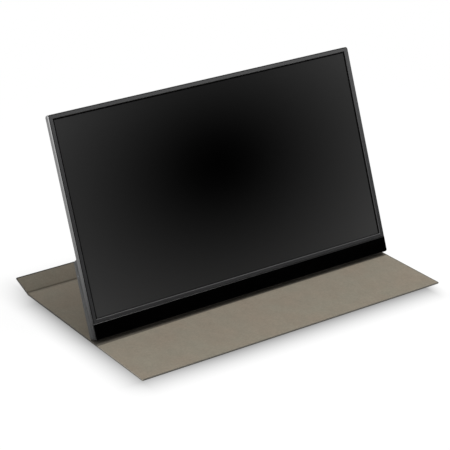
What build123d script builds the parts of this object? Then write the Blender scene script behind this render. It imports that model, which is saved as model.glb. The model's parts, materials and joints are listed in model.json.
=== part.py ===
from build123d import *

import os
from math import cos, radians, sin

# A 15.6-inch portable monitor that stands, leaning back on its own fold-out stand,
# on the opened folio cover that protects it in a bag.
# Frame: +Z up, +X along the width of the monitor, -Y towards the viewer,
# origin on the underside of the cover, in the middle of the whole part.

# Screen
active_width = 344.2
active_height = 193.6
side_border = 5.9
top_border = 5.2
rail_height = 4.6
chin_height = 16.1
black_border = 1.0
rail_black_border = 0.5
monitor_width = active_width + 2 * side_border
monitor_height = chin_height + rail_height + active_height + top_border
screen_low = chin_height + rail_height
screen_high = screen_low + active_height

# Slab and chassis
slab_thickness = 6.0
chassis_thickness = 13.5
shoulder_low = 86.0
shoulder_high = 98.0
top_corner = 2.5
bottom_corner = 2.0
bezel_thickness = 1.2
bezel_chamfer = 0.5
rear_wall = 1.2
side_wall = 1.5
chassis_wall = 1.5
chassis_edge_fillet = 1.5
shoulder_radius = 6.0
shoulder_corner_low = 76.8
shoulder_corner_rise = 3.0
shoulder_corner_slope = 2.0
seam_chamfer = 0.4
panel_seam = 0.15
tape_thickness = 0.2
glass_thickness = 1.1
film_thickness = 1.7
seam_clearance = 0.1

# Posture and stand
lean = 19.8
foot_radius = 2.2
edge_radius = 1.9
rest_gap = 0.3
stand_length = 78.0
stand_width = 250.0
stand_thickness = 2.4
stand_front = 1.0
stand_side_gap = 1.5
barrel_radius = 1.9
barrel_room = 0.5
pin_radius = 1.1
running_clearance = 0.05
knuckle_length = 9.6
knuckle_gap = 0.2
leaf_width = 24.0
leaf_height = 16.0
leaf_thickness = 0.8
bracket_thickness = 1.0
hinge_inset = 30.0
recess_wall = 1.0

# Cover
cover_margin = 0.5
cover_depth = 220.5
flap_front = 83.5
skin_thickness = 0.4
board_thickness = 0.7
lining_thickness = 0.3
cover_corner = 1.5
turned_edge = 1.0
strip_length = 26.8
strip_rise = 19.2
groove = 3.0
fold_gap = 0.15
magnet_thickness = 0.5
closure_magnet_length = 18.0
closure_magnet_width = 6.0
closure_magnet_count = 6
closure_magnet_pitch = 60.0
closure_magnet_inset = 9.0
strip_magnet_length = 24.0
strip_magnet_width = 8.0
strip_magnet_count = 8
strip_magnet_pitch = 42.0
magnet_clearance = 0.1

# Screws
screw_from_recess = 5.0
screw_from_side = 6.0
housing_screw_low = 6.0
housing_screw_high = 80.0
housing_screw_shift = 22.0
screw_radius = 1.0
screw_head_radius = 1.9
screw_head_height = 1.0
counterbore_depth = 1.2
boss_radius = 2.6
thread_engagement = 0.8
driver_slot = 0.7
shank_sides = 8
head_sides = 16
pin_sides = 12
cone_sides = 24

# Ports on the right side and controls on the left side
port_row_depth = 9.35
usb_width = 8.94
usb_height = 3.26
usb_depth = 7.4
usb_wall = 0.3
usb_tongue_width = 6.69
usb_tongue_height = 0.7
usb_spots = (42.5, 56.0)
hdmi_width = 11.2
hdmi_height = 3.2
hdmi_depth = 7.5
hdmi_spot = 70.0
jack_radius = 1.8
jack_depth = 14.0
jack_outer_radius = 2.5
jack_spot = 32.0
port_clearance = 0.2
pcb_thickness = 1.0
board_from_recess = 8.5
board_low = 28.0
board_high = 76.0
board_leg_from_side = 10.0
board_leg_width = 10.0
board_leg_low = 8.0
cable_window_margin = 2.0
cable_window_low = 5.0
cable_window_high = 12.0
button_row_depth = 9.2
button_length = 8.0
button_width = 3.0
button_proud = 0.4
button_clearance = 0.2
button_chamfer = 0.25
button_travel = 0.5
flange_lip = 0.5
switch_size = 3.5
switch_height = 1.8
plunger_radius = 0.8
plunger_height = 0.5
power_button_spot = 72.0
menu_button_spot = 34.0
rocker_spot = 51.0
rocker_length = 18.0
rocker_pin_radius = 0.6
rocker_end_clearance = 0.35
lug_thickness = 0.8
lug_offset = 1.9
light_spot = 63.5
light_radius = 0.75
button_board_low = 29.0
button_board_high = 77.0
carrier_thickness = 1.2

# Speakers
speaker_gap = 1.4
speaker_low = 3.0
speaker_height = 21.0
speaker_depth = 5.0
cone_share = 0.375
grille_slots = 6
grille_pitch = 2.4
grille_slot_width = 1.0
grille_share = 0.7

# Worked out from the sizes above
half_width = monitor_width / 2
cover_thickness = skin_thickness + board_thickness + lining_thickness
cover_width = monitor_width + 2 * cover_margin
strip_run = strip_length * cos(radians(strip_rise)) + cover_thickness * sin(radians(strip_rise))
cover_front_y = -(cover_depth + strip_run) / 2
crease_y = cover_front_y + cover_depth
axis_depth = chassis_thickness - edge_radius
axis_height = edge_radius
pivot_height = axis_height + stand_length
recess_floor = axis_depth - barrel_radius - barrel_room
recess_top = pivot_height + barrel_radius + barrel_room
recess_half = stand_width / 2 + stand_side_gap
recess_outer_half = recess_half + recess_wall
hinge_x = stand_width / 2 - hinge_inset
housing_screw_x = (recess_outer_half + screw_from_recess, half_width - screw_from_side)
board_left = recess_outer_half + board_from_recess
board_leg_right = half_width - board_leg_from_side
board_leg_left = board_leg_right - board_leg_width
speaker_left_edge = housing_screw_x[0] + boss_radius + speaker_gap
speaker_width = board_leg_left - speaker_gap - speaker_left_edge
cable_window = (
    board_leg_left + cable_window_margin,
    half_width - screw_from_side,
    cable_window_low,
    cable_window_high,
)
chassis_inside = chassis_thickness - chassis_wall
tray_thickness = slab_thickness - rear_wall - bezel_thickness - tape_thickness
tray_thickness = tray_thickness - glass_thickness - film_thickness

# The front face of the screen: origin in the middle of its bottom edge,
# x along the width, y up the screen, z out towards the viewer
up = Vector(0, sin(radians(lean)), cos(radians(lean)))
out = Vector(0, -cos(radians(lean)), sin(radians(lean)))
axis_point = Vector(
    0,
    cover_front_y + flap_front + axis_depth * cos(radians(lean)) + axis_height * sin(radians(lean)),
    cover_thickness + rest_gap + foot_radius,
)
face_origin = axis_point + out * axis_depth - up * axis_height
face = Plane(origin=face_origin, x_dir=(1, 0, 0), z_dir=out)
pivot_point = axis_point + up * stand_length
depth_axis = Axis(face_origin, -out)
plan = Plane(origin=face_origin, x_dir=(1, 0, 0), z_dir=up)

# The stand opens twice as far as the monitor leans, so its foot stays at floor height
stand_open = 2 * lean
stand_lean = radians(stand_open - lean)
stand_out = Vector(0, -cos(stand_lean), -sin(stand_lean))
stand_face = Plane(origin=pivot_point, x_dir=(1, 0, 0), z_dir=stand_out)

# The strip rises from the crease; the fold's axis lies in the lining's top surface
strip_angle = radians(strip_rise)
strip_origin = Vector(0, crease_y, cover_thickness)
strip_face = Plane(
    origin=strip_origin,
    x_dir=(1, 0, 0),
    z_dir=(0, -sin(strip_angle), cos(strip_angle)),
)


def layer(depth):
    """Plane parallel to the screen, at a depth behind its front face."""
    return face.offset(-depth)


def across(x):
    """Plane across the monitor at x, with depth to the right and height upwards."""
    return Plane(origin=face_origin + Vector(x, 0, 0), x_dir=-out, z_dir=(1, 0, 0))


def stand_layer(depth):
    """Plane parallel to the stand, at a depth behind its hinge axis."""
    return stand_face.offset(-depth)


def stand_across(x):
    """Plane across the stand at x, with depth to the right and the pivot at the origin."""
    return Plane(origin=pivot_point + Vector(x, 0, 0), x_dir=-stand_out, z_dir=(1, 0, 0))


def span(width, low, high):
    """Rectangle centred on the width, between two heights."""
    with Locations((0, (low + high) / 2)):
        Rectangle(width, high - low)


def patch(left, right, low, high, mode=Mode.ADD):
    """Rectangle between two x values and two heights."""
    with Locations(((left + right) / 2, (low + high) / 2)):
        Rectangle(right - left, high - low, mode=mode)


def slab_outline(inset=0.0):
    """Outline of the slab with its two sizes of corner."""
    span(monitor_width - 2 * inset, inset, monitor_height - inset)
    fillet(vertices().group_by(Axis.Y)[-1], radius=top_corner - inset * 0.5)
    fillet(vertices().group_by(Axis.Y)[0], radius=bottom_corner - inset * 0.5)


def shoulder_corner(side, wall=0.0):
    """Plane that cuts off an upper corner of the lower housing, or of the space a wall inside it."""
    lean_back = shoulder_corner_slope * shoulder_corner_rise / (chassis_thickness - slab_thickness)
    normal = Vector(side, 0, 0) + up * shoulder_corner_slope - out * lean_back
    corner = face_origin + Vector(side * half_width, 0, 0) + up * shoulder_corner_low
    corner = corner - out * chassis_thickness
    return Plane(origin=corner - normal.normalized() * wall, z_dir=normal)


def housing_screw_spots():
    """Where the eight housing screws go, as x and height."""
    inner, outer = housing_screw_x
    return [
        (side * x, height)
        for side in (-1, 1)
        for x, height in (
            (inner, housing_screw_low),
            (outer, housing_screw_low),
            (inner, housing_screw_high),
            (outer - housing_screw_shift, housing_screw_high),
        )
    ]


def save(builder, name):
    """Label a finished piece and write it."""
    builder.part.label = name
    export_step(builder.part, f"parts/{name}.step")


os.makedirs("parts", exist_ok=True)

# Front bezel: grey ring with a chamfered rim, a slim top and a rail under the screen
with BuildPart() as front_bezel:
    with BuildSketch(layer(0)):
        slab_outline()
        patch(-half_width, half_width, 0, chin_height + panel_seam, mode=Mode.SUBTRACT)
        patch(
            -active_width / 2 - black_border,
            active_width / 2 + black_border,
            screen_low - rail_black_border,
            screen_high + black_border,
            mode=Mode.SUBTRACT,
        )
    extrude(amount=-bezel_thickness)
    bezel_front = front_bezel.faces().sort_by(depth_axis)[0]
    chamfer(bezel_front.edges(), length=bezel_chamfer)
save(front_bezel, "front_bezel")

# Chin panel: glossy strip under the screen with a softly rounded front rim
with BuildPart() as chin_panel:
    with BuildSketch(layer(0)):
        slab_outline()
        patch(-half_width, half_width, chin_height, monitor_height, mode=Mode.SUBTRACT)
    extrude(amount=-bezel_thickness)
    chin_front = chin_panel.faces().sort_by(depth_axis)[0]
    fillet(chin_front.edges(), radius=bezel_chamfer)
save(chin_panel, "chin_panel")

# Rear cover: shallow metal tray that closes the slab and forms its side band
with BuildPart() as rear_cover:
    with BuildSketch(layer(bezel_thickness)):
        slab_outline()
    extrude(amount=-(slab_thickness - bezel_thickness))
    with BuildSketch(layer(bezel_thickness)):
        slab_outline(inset=side_wall)
    extrude(amount=-(slab_thickness - bezel_thickness - rear_wall), mode=Mode.SUBTRACT)
    rear_rim = rear_cover.faces().sort_by(depth_axis)[-1]
    chamfer(rear_rim.edges(), length=seam_chamfer)
    with BuildSketch(layer(slab_thickness)):
        patch(*cable_window)
        with Locations(*housing_screw_spots()):
            RegularPolygon(screw_radius, shank_sides)
    extrude(amount=rear_wall, mode=Mode.SUBTRACT)
save(rear_cover, "rear_cover")

# Middle frame: dark ring that holds the panel, with a ribbed web behind the chin
frame_inset = side_wall + seam_clearance
ring_width = 2.2
web_thickness = 1.0
web_overlap = 0.8
web_top = chin_height + web_overlap
rib_thickness = 1.2
rib_count = 4
driver_half = 78.0
panel_half = half_width - frame_inset - ring_width
rib_pitch = (panel_half - driver_half) / (rib_count + 0.5)
panel_low = web_top + seam_clearance
panel_high = monitor_height - frame_inset - ring_width
with BuildPart() as middle_frame:
    with BuildSketch(layer(bezel_thickness)):
        slab_outline(inset=frame_inset)
    extrude(amount=-(slab_thickness - bezel_thickness - rear_wall))
    with BuildSketch(layer(bezel_thickness)):
        patch(-panel_half, panel_half, web_top, panel_high)
    extrude(amount=-slab_thickness, mode=Mode.SUBTRACT)
    with BuildSketch(layer(bezel_thickness + web_thickness)):
        patch(-panel_half, panel_half, frame_inset + ring_width / 2, web_top)
    extrude(amount=-slab_thickness, mode=Mode.SUBTRACT)
    with BuildSketch(layer(bezel_thickness)):
        for side in (-1, 1):
            for step in range(rib_count):
                rib_x = side * (panel_half - rib_pitch * (step + 1))
                patch(
                    rib_x - rib_thickness / 2,
                    rib_x + rib_thickness / 2,
                    frame_inset,
                    cable_window_low - seam_clearance,
                )
    extrude(amount=-(slab_thickness - bezel_thickness - rear_wall))
save(middle_frame, "middle_frame")

# Display panel, front to back: tape, glass, film stack, lamp bar and steel tray
glass_depth = bezel_thickness + tape_thickness
film_depth = glass_depth + glass_thickness
lamp_bar_height = 2.2
tray_rim = 0.5
glass_half = panel_half - seam_clearance
glass_high = panel_high - seam_clearance

with BuildPart() as panel_tape:
    with BuildSketch(layer(bezel_thickness)):
        patch(-glass_half, glass_half, panel_low, glass_high)
        patch(
            -active_width / 2 - black_border,
            active_width / 2 + black_border,
            screen_low - rail_black_border,
            screen_high + black_border,
            mode=Mode.SUBTRACT,
        )
    extrude(amount=-tape_thickness)
save(panel_tape, "panel_tape")

with BuildPart() as lcd_glass:
    with BuildSketch(layer(glass_depth)):
        patch(-glass_half, glass_half, panel_low, glass_high)
    extrude(amount=-glass_thickness)
save(lcd_glass, "lcd_glass")

with BuildPart() as light_guide:
    with BuildSketch(layer(film_depth)):
        patch(
            -glass_half + tray_rim,
            glass_half - tray_rim,
            panel_low + tray_rim + lamp_bar_height,
            glass_high - tray_rim,
        )
    extrude(amount=-film_thickness)
save(light_guide, "light_guide")

with BuildPart() as lamp_bar:
    with BuildSketch(layer(film_depth)):
        patch(
            -glass_half + tray_rim,
            glass_half - tray_rim,
            panel_low + tray_rim,
            panel_low + tray_rim + lamp_bar_height,
        )
    extrude(amount=-film_thickness)
save(lamp_bar, "lamp_bar")

with BuildPart() as panel_tray:
    with BuildSketch(layer(film_depth)):
        patch(-glass_half, glass_half, panel_low, glass_high)
    extrude(amount=-(film_thickness + tray_thickness))
    with BuildSketch(layer(film_depth)):
        patch(-glass_half + tray_rim, glass_half - tray_rim, panel_low + tray_rim, glass_high - tray_rim)
    extrude(amount=-film_thickness, mode=Mode.SUBTRACT)
save(panel_tray, "panel_tray")

# Panel driver board behind the chin, and the flat cable to the main board
driver_low = 3.6
driver_high = 13.0
driver_thickness = 0.8
driver_depth = bezel_thickness + web_thickness
chip_pitch = 30.0
chip_count = 5
chip_length = 12.0
chip_width = 5.0
with BuildPart() as driver_board:
    with BuildSketch(layer(driver_depth)):
        span(2 * driver_half, driver_low, driver_high)
    extrude(amount=-driver_thickness)
    with BuildSketch(layer(driver_depth + driver_thickness)):
        with Locations((0, (driver_low + driver_high) / 2)):
            with GridLocations(chip_pitch, 1, chip_count, 1):
                Rectangle(chip_length, chip_width)
    extrude(amount=-driver_thickness)
save(driver_board, "driver_board")

cable_thickness = 0.2
cable_margin = 0.7
cable_overlap = 6.0
cable_low = cable_window_low + cable_margin
cable_high = cable_window_high - cable_margin
cable_x = (board_leg_left + board_leg_right) / 2
cable_front = driver_depth + driver_thickness
board_face = chassis_inside - pcb_thickness
with BuildPart() as display_cable:
    with BuildSketch(layer(cable_front)):
        patch(driver_half - cable_overlap, cable_x, cable_low, cable_high)
    extrude(amount=-cable_thickness)
    with BuildSketch(layer(cable_front)):
        patch(cable_x - cable_thickness, cable_x, cable_low, cable_high)
    extrude(amount=-(board_face - cable_front))
save(display_cable, "display_cable")

# Space inside the lower housing, open towards the rear cover
slope_wall = chassis_wall * 1.5
with BuildPart() as housing_space:
    with BuildSketch(across(-half_width + chassis_wall)):
        with BuildLine():
            Polyline(
                (slab_thickness, chassis_wall),
                (chassis_inside, chassis_wall),
                (chassis_inside, shoulder_low - chassis_wall),
                (slab_thickness, shoulder_high - slope_wall),
                close=True,
            )
        make_face()
    extrude(amount=monitor_width - 2 * chassis_wall)
    for side in (-1, 1):
        split(bisect_by=shoulder_corner(side, chassis_wall), keep=Keep.BOTTOM)

# Lower housing: hollow thick base of the monitor with a sloping shoulder cut off at its
# ends, the stand's recess, screw bosses, speaker grilles, port and control openings
with BuildPart() as lower_housing:
    with BuildSketch(across(-half_width)):
        with BuildLine():
            Line((slab_thickness, 0), (axis_depth, 0))
            RadiusArc((axis_depth, 0), (chassis_thickness, axis_height), -edge_radius)
            Line((chassis_thickness, axis_height), (chassis_thickness, shoulder_low))
            Line((chassis_thickness, shoulder_low), (slab_thickness, shoulder_high))
            Line((slab_thickness, shoulder_high), (slab_thickness, 0))
        make_face()
        shoulder = vertices().sort_by_distance((chassis_thickness, shoulder_low))[0]
        fillet(shoulder, radius=shoulder_radius)
    extrude(amount=monitor_width)
    with BuildSketch(layer(slab_thickness)):
        slab_outline()
    extrude(amount=-(chassis_thickness - slab_thickness), mode=Mode.INTERSECT)
    with BuildSketch(plan):
        patch(-half_width, half_width, 0, chassis_thickness)
        fillet(vertices().group_by(Axis.Y)[-1], radius=chassis_edge_fillet)
    extrude(amount=shoulder_high, mode=Mode.INTERSECT)
    for side in (-1, 1):
        split(bisect_by=shoulder_corner(side), keep=Keep.BOTTOM)
    add(housing_space.part, mode=Mode.SUBTRACT)
    # the recess for the stand: a block of walls, then its open space
    with BuildSketch(layer(recess_floor - recess_wall)):
        span(2 * recess_outer_half, chassis_wall / 2, recess_top + recess_wall)
    extrude(amount=-(chassis_inside + chassis_wall / 2 - recess_floor + recess_wall))
    with BuildSketch(layer(recess_floor)):
        span(2 * recess_half, -chassis_wall, recess_top)
    extrude(amount=-chassis_thickness, mode=Mode.SUBTRACT)
    # screw bosses with counterbored holes from behind
    with BuildSketch(layer(slab_thickness)):
        with Locations(*housing_screw_spots()):
            Rectangle(2 * boss_radius, 2 * boss_radius)
    extrude(amount=-(chassis_inside - slab_thickness))
    with BuildSketch(layer(chassis_thickness)):
        with Locations(*housing_screw_spots()):
            RegularPolygon(screw_radius, shank_sides)
    extrude(amount=chassis_thickness - slab_thickness, mode=Mode.SUBTRACT)
    with BuildSketch(layer(chassis_thickness)):
        with Locations(*housing_screw_spots()):
            RegularPolygon(screw_head_radius + port_clearance, head_sides)
    extrude(amount=counterbore_depth, mode=Mode.SUBTRACT)
    # speaker grilles
    speaker_mid = speaker_left_edge + speaker_width / 2
    with BuildSketch(layer(chassis_thickness)):
        for side in (-1, 1):
            with Locations((side * speaker_mid, speaker_low + speaker_height / 2)):
                with GridLocations(1, grille_pitch, 1, grille_slots):
                    Rectangle(speaker_width * grille_share, grille_slot_width)
    extrude(amount=chassis_wall, mode=Mode.SUBTRACT)
    # port openings in the right side
    with BuildSketch(across(half_width)):
        with Locations(*[(port_row_depth, height) for height in usb_spots]):
            SlotOverall(usb_width + 2 * port_clearance, usb_height + 2 * port_clearance, rotation=90)
        with Locations((port_row_depth, hdmi_spot)):
            Rectangle(hdmi_height + 2 * port_clearance, hdmi_width + 2 * port_clearance)
        with Locations((port_row_depth, jack_spot)):
            Circle(jack_outer_radius)
    extrude(amount=-chassis_wall, mode=Mode.SUBTRACT)
    # control openings in the left side
    with BuildSketch(across(-half_width)):
        with Locations((button_row_depth, power_button_spot), (button_row_depth, menu_button_spot)):
            SlotOverall(
                button_length + 2 * button_clearance,
                button_width + 2 * button_clearance,
                rotation=90,
            )
        with Locations((button_row_depth, rocker_spot)):
            SlotOverall(
                rocker_length + 2 * rocker_end_clearance,
                button_width + 2 * button_clearance,
                rotation=90,
            )
        with Locations((button_row_depth, light_spot)):
            RegularPolygon(light_radius, pin_sides)
    extrude(amount=chassis_wall, mode=Mode.SUBTRACT)
    # two lugs that carry the rocker's pin
    rocker_pin_inset = 2.7
    lug_reach = rocker_pin_inset + 3 * rocker_pin_radius
    with BuildSketch(across(-half_width + chassis_wall)):
        with Locations(
            (button_row_depth - lug_offset - lug_thickness / 2, rocker_spot),
            (button_row_depth + lug_offset + lug_thickness / 2, rocker_spot),
        ):
            Rectangle(lug_thickness, 4 * rocker_pin_radius)
    extrude(amount=lug_reach - chassis_wall)
    with BuildSketch(layer(slab_thickness)):
        with Locations((-half_width + rocker_pin_inset, rocker_spot)):
            RegularPolygon(rocker_pin_radius + running_clearance, pin_sides)
    extrude(amount=-(chassis_inside - slab_thickness), mode=Mode.SUBTRACT)
save(lower_housing, "lower_housing")

# Screws that hold the lower housing to the rear cover, each with a cross recess
with BuildPart() as housing_screws:
    with BuildSketch(layer(chassis_thickness - counterbore_depth)):
        with Locations(*housing_screw_spots()):
            RegularPolygon(screw_radius, shank_sides)
    extrude(amount=chassis_thickness - counterbore_depth - slab_thickness + thread_engagement)
    with BuildSketch(layer(chassis_thickness - counterbore_depth)):
        with Locations(*housing_screw_spots()):
            RegularPolygon(screw_head_radius, head_sides)
    extrude(amount=-screw_head_height)
    with BuildSketch(layer(chassis_thickness - counterbore_depth + screw_head_height)):
        with Locations(*housing_screw_spots()):
            Rectangle(2 * screw_radius, driver_slot)
            Rectangle(driver_slot, 2 * screw_radius)
    extrude(amount=screw_head_height / 2, mode=Mode.SUBTRACT)
save(housing_screws, "housing_screws")

# Rubber feet along the bottom rear edge, either side of the stand
foot_from_recess = 5.0
foot_inner = recess_half + foot_from_recess
foot_outer = half_width - bottom_corner - cable_window_margin
foot_bead_wall = foot_radius - edge_radius
foot_grip = 3.0
for side, name in ((-1, "bottom_foot_left"), (1, "bottom_foot_right")):
    with BuildPart() as bottom_foot:
        foot_start = foot_inner if side > 0 else -foot_outer
        with BuildSketch(across(foot_start)):
            with Locations((axis_depth, axis_height)):
                Circle(foot_radius)
                Circle(edge_radius, mode=Mode.SUBTRACT)
            patch(
                axis_depth,
                axis_depth + foot_radius,
                axis_height - foot_radius,
                axis_height,
                mode=Mode.INTERSECT,
            )
            patch(axis_depth - foot_grip, axis_depth, -foot_bead_wall, 0)
            patch(
                chassis_thickness,
                chassis_thickness + foot_bead_wall,
                axis_height,
                axis_height + foot_grip,
            )
        extrude(amount=foot_outer - foot_inner)
    save(bottom_foot, name)

# Main board in the right cheek, with its sockets and a shield over its processor
with BuildPart() as main_board:
    with BuildSketch(layer(board_face)):
        patch(board_left, half_width - chassis_wall, board_low, board_high)
        patch(board_leg_left, board_leg_right, board_leg_low, board_low)
        with Locations(*housing_screw_spots()):
            Rectangle(
                2 * (boss_radius + seam_clearance),
                2 * (boss_radius + seam_clearance),
                mode=Mode.SUBTRACT,
            )
    extrude(amount=-pcb_thickness)
save(main_board, "main_board")

shield_thickness = 2.2
shield_gap = 0.5
shield_chamfer = 0.3
shield_corner = 1.0
shield_left = board_left + 4 * shield_corner
shield_right = half_width - chassis_wall - jack_depth - shield_gap
shield_low = 34.0
shield_high = 72.0
with BuildPart() as board_shield:
    with BuildSketch(layer(board_face)):
        patch(shield_left, shield_right, shield_low, shield_high)
        chamfer(vertices(), length=shield_corner)
    extrude(amount=shield_thickness)
    shield_top = board_shield.faces().sort_by(depth_axis)[0]
    chamfer(shield_top.edges(), length=shield_chamfer)
save(board_shield, "board_shield")

socket_face = half_width - port_clearance
socket_floor = 1.0
for index, height in enumerate(usb_spots):
    with BuildPart() as usb_c_socket:
        with BuildSketch(across(socket_face)):
            with Locations((port_row_depth, height)):
                SlotOverall(usb_width, usb_height, rotation=90)
        extrude(amount=-usb_depth)
        with BuildSketch(across(socket_face)):
            with Locations((port_row_depth, height)):
                SlotOverall(usb_width - 2 * usb_wall, usb_height - 2 * usb_wall, rotation=90)
        extrude(amount=-(usb_depth - socket_floor), mode=Mode.SUBTRACT)
        with BuildSketch(across(socket_face - usb_depth)):
            with Locations((port_row_depth, height)):
                Rectangle(usb_tongue_height, usb_tongue_width)
        extrude(amount=usb_depth - socket_floor)
    save(usb_c_socket, f"usb_c_socket_{index + 1}")

hdmi_wall = 0.3
hdmi_tongue_width = 8.4
hdmi_tongue_height = 0.6
hdmi_corner = 0.8
with BuildPart() as mini_hdmi_socket:
    with BuildSketch(across(socket_face)):
        with Locations((port_row_depth, hdmi_spot)):
            Rectangle(hdmi_height, hdmi_width)
        chamfer(vertices().group_by(Axis.X)[-1], length=hdmi_corner)
    extrude(amount=-hdmi_depth)
    with BuildSketch(across(socket_face)):
        with Locations((port_row_depth, hdmi_spot)):
            Rectangle(hdmi_height - 2 * hdmi_wall, hdmi_width - 2 * hdmi_wall)
        chamfer(vertices().group_by(Axis.X)[-1], length=hdmi_corner)
    extrude(amount=-(hdmi_depth - socket_floor), mode=Mode.SUBTRACT)
    with BuildSketch(across(socket_face - hdmi_depth)):
        with Locations((port_row_depth, hdmi_spot)):
            Rectangle(hdmi_tongue_height, hdmi_tongue_width)
    extrude(amount=hdmi_depth - socket_floor)
save(mini_hdmi_socket, "mini_hdmi_socket")

# Audio jack: a square body behind the wall, with a round nose in the opening
jack_body = 5.0
jack_nose = chassis_wall - port_clearance
with BuildPart() as audio_jack:
    with BuildSketch(across(half_width - chassis_wall)):
        with Locations((port_row_depth, jack_spot)):
            Rectangle(2 * (board_face - port_row_depth), jack_body)
    extrude(amount=-jack_depth)
    with BuildSketch(across(half_width - chassis_wall)):
        with Locations((port_row_depth, jack_spot)):
            Circle(jack_outer_radius - port_clearance)
    extrude(amount=jack_nose)
    with BuildSketch(across(socket_face)):
        with Locations((port_row_depth, jack_spot)):
            Circle(jack_radius)
    extrude(amount=-jack_depth, mode=Mode.SUBTRACT)
save(audio_jack, "audio_jack")

# Speakers in the lower corners, each a box with cut corners and a cone behind its grille
cone_depth = 0.8
speaker_corner = 2.0
for side, name in ((-1, "speaker_left"), (1, "speaker_right")):
    with BuildPart() as speaker:
        with BuildSketch(layer(chassis_inside)):
            with Locations((side * speaker_mid, speaker_low + speaker_height / 2)):
                Rectangle(speaker_width, speaker_height)
            chamfer(vertices(), length=min(speaker_corner, speaker_width / 4))
        extrude(amount=speaker_depth)
        with BuildSketch(layer(chassis_inside)):
            with Locations((side * speaker_mid, speaker_low + speaker_height / 2)):
                RegularPolygon(speaker_width * cone_share, cone_sides)
        extrude(amount=cone_depth, mode=Mode.SUBTRACT)
    save(speaker, name)

# Button board on its carrier inside the left side, with a switch under each control
control_room = 2.0
switch_face = -half_width + chassis_wall + control_room + plunger_height
switch_rear = switch_face + switch_height
rocker_arm = 6.0
board_gap = 0.6
switch_spots = (
    power_button_spot,
    rocker_spot + rocker_arm,
    rocker_spot - rocker_arm,
    menu_button_spot,
)
board_front = slab_thickness + board_gap
with BuildPart() as button_board:
    with BuildSketch(across(switch_rear)):
        patch(board_front, chassis_inside - seam_clearance, button_board_low, button_board_high)
    extrude(amount=pcb_thickness)
save(button_board, "button_board")

with BuildPart() as button_switches:
    with BuildSketch(across(switch_face)):
        with Locations(*[(button_row_depth, height) for height in switch_spots]):
            Rectangle(switch_size, switch_size)
    extrude(amount=switch_height)
    with BuildSketch(across(switch_face)):
        with Locations(*[(button_row_depth, height) for height in switch_spots]):
            RegularPolygon(plunger_radius, shank_sides)
    extrude(amount=-plunger_height)
save(button_switches, "button_switches")

carrier_foot = 7.0
with BuildPart() as button_carrier:
    with BuildSketch(across(switch_rear + pcb_thickness)):
        patch(board_front, chassis_inside, button_board_low, button_board_high)
    extrude(amount=carrier_thickness)
    with BuildSketch(across(switch_rear + pcb_thickness + carrier_thickness)):
        patch(chassis_inside - carrier_thickness, chassis_inside, button_board_low, button_board_high)
    extrude(amount=carrier_foot)
save(button_carrier, "button_carrier")

# Light pipe beside the power button: a stem through the wall with a wider inner end
with BuildPart() as power_light:
    with BuildSketch(across(-half_width)):
        with Locations((button_row_depth, light_spot)):
            RegularPolygon(light_radius, pin_sides)
    extrude(amount=switch_rear + half_width)
save(power_light, "power_light")

# Push buttons: a rounded cap with a lip that keeps it in the wall, and a short stem
lip_start = -half_width + chassis_wall + button_clearance
button_inner = switch_face - plunger_height - button_travel - seam_clearance
button_specs = (("power_button", power_button_spot), ("menu_button", menu_button_spot))
for name, height in button_specs:
    with BuildPart() as button:
        with BuildSketch(across(-half_width - button_proud)):
            with Locations((button_row_depth, height)):
                SlotOverall(button_length, button_width, rotation=90)
        extrude(amount=button_inner + half_width + button_proud)
        chamfer(button.faces().sort_by(Axis.X)[0].edges(), length=button_chamfer)
        with BuildSketch(across(lip_start)):
            with Locations((button_row_depth, height)):
                Rectangle(button_width + 2 * flange_lip, button_length + 2 * flange_lip)
        extrude(amount=button_inner - lip_start)
    save(button, name)

# Rocker: a long cap that tips about a pin held by the housing's lugs
with BuildPart() as adjust_rocker:
    with BuildSketch(across(-half_width - button_proud)):
        with Locations((button_row_depth, rocker_spot)):
            SlotOverall(rocker_length, button_width, rotation=90)
    extrude(amount=button_inner + half_width + button_proud)
    chamfer(adjust_rocker.faces().sort_by(Axis.X)[0].edges(), length=button_chamfer)
    with BuildSketch(layer(button_row_depth - lug_offset - lug_thickness)):
        with Locations((-half_width + rocker_pin_inset, rocker_spot)):
            RegularPolygon(rocker_pin_radius, pin_sides)
    extrude(amount=-2 * (lug_offset + lug_thickness))
save(adjust_rocker, "adjust_rocker")

# Fixed hinge brackets: a leaf on the recess floor that rises into the middle knuckle
bracket_wide_top = pivot_height - barrel_radius - barrel_room
bracket_screw_height = bracket_wide_top - leaf_height * 0.6
leaf_corner = 1.8
for side, name in ((-1, "hinge_bracket_left"), (1, "hinge_bracket_right")):
    x = side * hinge_x
    with BuildPart() as hinge_bracket:
        with BuildSketch(layer(recess_floor)):
            patch(x - leaf_width / 2, x + leaf_width / 2, bracket_wide_top - leaf_height, bracket_wide_top)
            fillet(vertices().group_by(Axis.Y)[0], radius=leaf_corner)
        extrude(amount=-bracket_thickness)
        with BuildSketch(across(x - knuckle_length / 2)):
            with Locations((axis_depth, pivot_height)):
                Circle(barrel_radius)
            with BuildLine():
                Polyline(
                    (recess_floor, bracket_wide_top - bracket_thickness),
                    (recess_floor + bracket_thickness, bracket_wide_top - bracket_thickness),
                    (axis_depth, pivot_height - barrel_radius),
                    (axis_depth, pivot_height),
                    (axis_depth - barrel_radius, pivot_height),
                    close=True,
                )
            make_face()
        extrude(amount=knuckle_length)
        with BuildSketch(across(x - knuckle_length / 2)):
            with Locations((axis_depth, pivot_height)):
                Circle(pin_radius + running_clearance)
        extrude(amount=knuckle_length, mode=Mode.SUBTRACT)
        with BuildSketch(layer(recess_floor)):
            for dx in (-1, 1):
                with Locations((x + dx * leaf_width / 4, bracket_screw_height)):
                    RegularPolygon(screw_radius, shank_sides)
        extrude(amount=-bracket_thickness, mode=Mode.SUBTRACT)
    save(hinge_bracket, name)

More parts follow.
